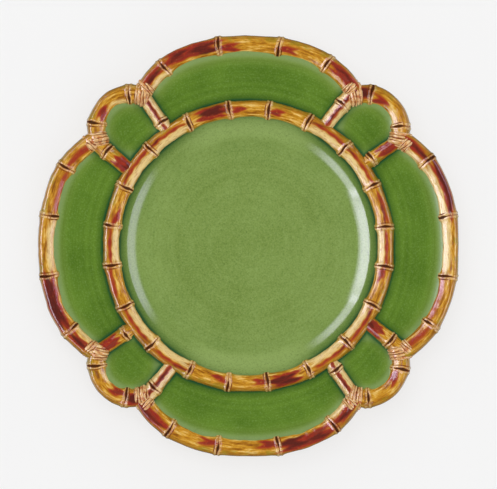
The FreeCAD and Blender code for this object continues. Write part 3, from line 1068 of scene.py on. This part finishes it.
def foot_material():
    """Foot ring: cream glaze on its sides, bare pale clay where it stands."""
    n = Nodes("bare_foot")
    place = n.place()
    sand = n.noise(place, 2.4, 4.0, 0.7)
    clay = n.mix(n.step(sand, 0.35, 0.65), *CLAYS)
    glaze = n.mix(n.step(n.noise(place, 0.05), 0.35, 0.65), *CREAMS)
    height = n.plus(n.split(place)["Z"], n.times(sand, 0.5))
    bare = n.step(height, 0.7, 1.0, 1.0, 0.0)
    n.bump(sand, 0.08)
    return n.finish(n.mix(bare, glaze, clay), n.plus(0.18, n.times(bare, 0.6)))


# ------------ the plate


def build_canes(material):
    """All rim, corner, ring and strut canes."""
    rim, corner, ring = rim_path(), corner_path(), ring_path()
    rim_angles, ring_angles = angle_of(rim[0]), angle_of(ring[0])
    corner_angles = angle_of(corner[0])
    about_corner = angle_of(corner[0] - CORNER_CENTRE) - CORNER_ANGLE
    rim_marks = np.interp(RIM_KNUCKLES, rim_angles, rim[2])
    ring_marks = np.interp(RING_KNUCKLES, ring_angles, ring[2])
    corner_marks = np.interp(CORNER_KNUCKLES, about_corner, corner[2])
    kinds = (
        ("rim_cane", rim, RIM_Z, RIM_SECTION, rim_marks, rim_angles,
         (RIM_RED, RIM_MAROON, RIM_STRAW_AND_SHEEN)),
        ("corner_cane", corner, RIM_Z, RIM_SECTION, corner_marks, corner_angles,
         (CORNER_RED, CORNER_MAROON, CORNER_STRAW)),
        ("ring_cane", ring, RING_Z, RING_SECTION, ring_marks, ring_angles,
         (RING_RED, RING_MAROON, RING_STRAW_AND_SHEEN)),
    )
    for kind_number, (kind, path, z, section, marks, where, table) in enumerate(kinds):
        for quarter in range(QUARTERS):
            seed = 20 + 10 * kind_number + quarter
            grid, attributes = cane_grid(path, z, section, marks, seed)
            add_paint(attributes, table, quarter + 1, where, seed)
            name = f"{kind}_{quarter + 1}"
            piece = make_mesh(f"{name}_glazed", [(turn(grid, quarter), attributes)])
            place(piece, name, "cane_glaze", material)


def build_struts(material):
    """The short canes between the ring and the joints."""
    tables = (
        (STRUT_RED, STRUT_MAROON, STRUT_STRAW),
        (STRUT_FAR_RED, STRUT_FAR_MAROON, STRUT_FAR_STRAW),
    )
    for side, (sizes, table) in enumerate(zip(STRUTS, tables)):
        path = strut_path(sizes)
        run = path[2]
        z = RING_Z - STRUT_DIP + (RIM_Z - RING_Z + STRUT_DIP) * run / run[-1]
        section = (sizes[2], STRUT_HEIGHT, STRUT_DEPTH)
        marks = [sizes[3] - STRUT_INNER]
        for quarter in range(QUARTERS):
            seed = 60 + 10 * side + quarter
            grid, attributes = cane_grid(path, z, section, marks, seed, knuckle_size=0.9, crest=0.0)
            add_paint(attributes, table, quarter + 1, STRUT_INNER + run, seed)
            name = f"strut_{2 * quarter + side + 1}"
            piece = make_mesh(f"{name}_glazed", [(turn(grid, quarter), attributes)])
            place(piece, name, "cane_glaze", material)


def build_lashings(material):
    """The cord bindings over the eight joints."""
    for quarter in range(QUARTERS):
        for side, mirrored in enumerate((False, True)):
            number = 2 * quarter + side + 1
            lofts = make_lashing(mirrored, number)
            lofts = [(turn(grid, quarter), attributes) for grid, attributes in lofts]
            piece = make_mesh(f"lashing_{number}_glazed", lofts)
            place(piece, f"lashing_{number}", "lashing_glaze", material)


def build_glaze(material):
    """The green fields."""
    well = make_mesh("well_glaze_skin", make_well_glaze(), poles=True)
    place(well, "well_glaze", "green_glaze", material)
    first, second = STRUTS
    spans = (
        ("rim_glaze", second[0] - QUARTER_TURN, first[0]),
        ("corner_glaze", first[0], second[0] - 0.8),
    )
    for kind, start, end in spans:
        for quarter in range(QUARTERS):
            name = f"{kind}_{quarter + 1}"
            lofts = make_field_glaze(start, end, quarter)
            place(make_mesh(f"{name}_skin", lofts), name, "green_glaze", material)


def build_body(material, foot):
    """The body, and the CAD's own foot ring with a better material."""
    body = make_mesh("plate_body_turned", make_body(), poles=True)
    place(body, "plate_body", "cream_glaze", material)
    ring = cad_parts["foot_ring"]
    ring.data.materials.clear()
    ring.data.materials.append(foot)


# ------------ studio


def area_light(name, location, aim, size, power, diffuse, glossy):
    """A rectangular soft light aimed at a point."""
    light = bpy.data.lights.new(name, "AREA")
    light.shape = "RECTANGLE"
    light.size, light.size_y = size
    light.energy = power
    lamp = bpy.data.objects.new(name, light)
    lamp.location = location
    direction = Vector(aim) - Vector(location)
    lamp.rotation_euler = direction.to_track_quat("-Z", "Y").to_euler()
    lamp.visible_diffuse = diffuse
    lamp.visible_glossy = glossy
    bpy.context.scene.collection.objects.link(lamp)
    return light


def soft_light(name, location, size, power):
    """A soft light over the plate that isn't mirrored in the glaze."""
    area_light(name, location, (0.0, 0.0, 0.0), size, power, diffuse=True, glossy=False)


def reflected_panel(name, location, size, power, tint, ends, end_share, top):
    """A standing panel seen only in the glaze, fading to its ends and to its top."""
    aim = (0.2 * location[0], 0.0, location[2])
    light = area_light(name, location, aim, size, power, diffuse=False, glossy=True)
    light.color = tint
    n = Nodes(name, light)
    place = n.split(n.node("NewGeometry")["Position"])
    along = n.step(n.math("ABSOLUTE", place["Y"]), *ends, 1.0, end_share)
    upward = n.step(place["Z"], *top, 1.0, 0.0)
    n.put(n.tree.nodes["Emission"].inputs["Strength"], n.times(along, upward))


def build_surroundings():
    """Dim all round, white low down on both sides, and pale where the camera looks."""
    world = bpy.data.worlds.new("studio")
    bpy.context.scene.world = world
    n = Nodes("studio", world)
    direction = n.split(n.node("TexCoord")["Generated"])
    across = n.math("ABSOLUTE", direction["X"])
    lengthways = n.math("ABSOLUTE", direction["Y"])
    sideways = n.math("DIVIDE", across, n.plus(across, lengthways))
    low_side = n.step(sideways, 0.4, 0.65, DIM_WORLD, SIDE_WORLD)
    dim = n.step(direction["Z"], -0.2, 0.0, low_side, DIM_WORLD)
    path = n.node("LightPath")
    lit = n.step(path["Is Diffuse Ray"], 0.0, 1.0, dim, SOFT_WORLD)
    back = n.tree.nodes["Background"].inputs
    n.put(back["Strength"], n.step(path["Is Camera Ray"], 0.0, 1.0, lit, PALE_WORLD))
    n.put(back["Color"], (1.0, 1.0, 1.0, 1.0))


def build_floor():
    """A plain pale floor that the glaze doesn't mirror."""
    mesh = bpy.data.meshes.new("floor")
    corners = [(x * FLOOR_HALF, y * FLOOR_HALF, 0) for x, y in ((-1, -1), (1, -1), (1, 1), (-1, 1))]
    mesh.from_pydata(corners, [], [(0, 1, 2, 3)])
    floor = bpy.data.objects.new("floor", mesh)
    floor.location.z = -FLOOR_GAP * MM
    bpy.context.scene.collection.objects.link(floor)
    n = Nodes("floor")
    n.finish((FLOOR_GREY, FLOOR_GREY, FLOOR_GREY, 1.0), roughness=0.9, specular=0.0)
    n.surface.inputs["Emission Color"].default_value = (1.0, 1.0, 1.0, 1.0)
    n.surface.inputs["Emission Strength"].default_value = FLOOR_GLOW
    floor.data.materials.append(n.owner)
    floor.visible_glossy = False


def build_lights():
    """Soft lights for the matt colours, and panels at both sides for the glaze."""
    soft_light("key_soft", (-0.25, 0.35, 1.6), size=(1.1, 1.1), power=9.0)
    soft_light("fill_soft", (0.45, -0.25, 1.5), size=(1.1, 1.1), power=4.4)
    for name, side in (("far", 1.0), ("near", -1.0)):
        soft_light(f"{name}_soft", (0.0, 1.3 * side, 0.75), size=(1.6, 0.6), power=4.5)
        reflected_panel(
            f"left_{name}_box", (-0.855, 0.77 * side, 0.9), size=(0.75, 0.6), power=7.4,
            tint=LEFT_TINT, ends=(0.78, 1.05), end_share=0.0, top=(0.95, 1.2))
    reflected_panel(
        "left_box", (-1.0, 0.0, 0.975), size=(1.1, 0.95), power=30.6,
        tint=LEFT_TINT, ends=(0.25, 0.55), end_share=0.56, top=(0.9, 1.45))
    reflected_panel(
        "right_box", (1.0, 0.0, 0.82), size=(1.8, 0.64), power=14.5,
        tint=RIGHT_TINT, ends=(0.45, 0.9), end_share=0.0, top=(0.85, 1.14))


def build_camera():
    """A camera straight above the plate."""
    camera = bpy.data.cameras.new("camera")
    camera.sensor_width = SENSOR_WIDTH
    camera.lens = SENSOR_WIDTH * CAMERA_HEIGHT / VIEW_WIDTH
    camera.shift_y = CENTRE_DROP / IMAGE_WIDTH
    eye = bpy.data.objects.new("camera", camera)
    eye.location = (0.0, 0.0, RIM_Z * MM + CAMERA_HEIGHT)
    bpy.context.scene.collection.objects.link(eye)
    bpy.context.scene.camera = eye
    bpy.context.scene.view_settings.view_transform = "Standard"


cane = cane_material()
build_body(back_material(), foot_material())
build_glaze(green_material())
build_canes(cane)
build_struts(cane)
build_lashings(lashing_material())
build_floor()
build_lights()
build_surroundings()
build_camera()
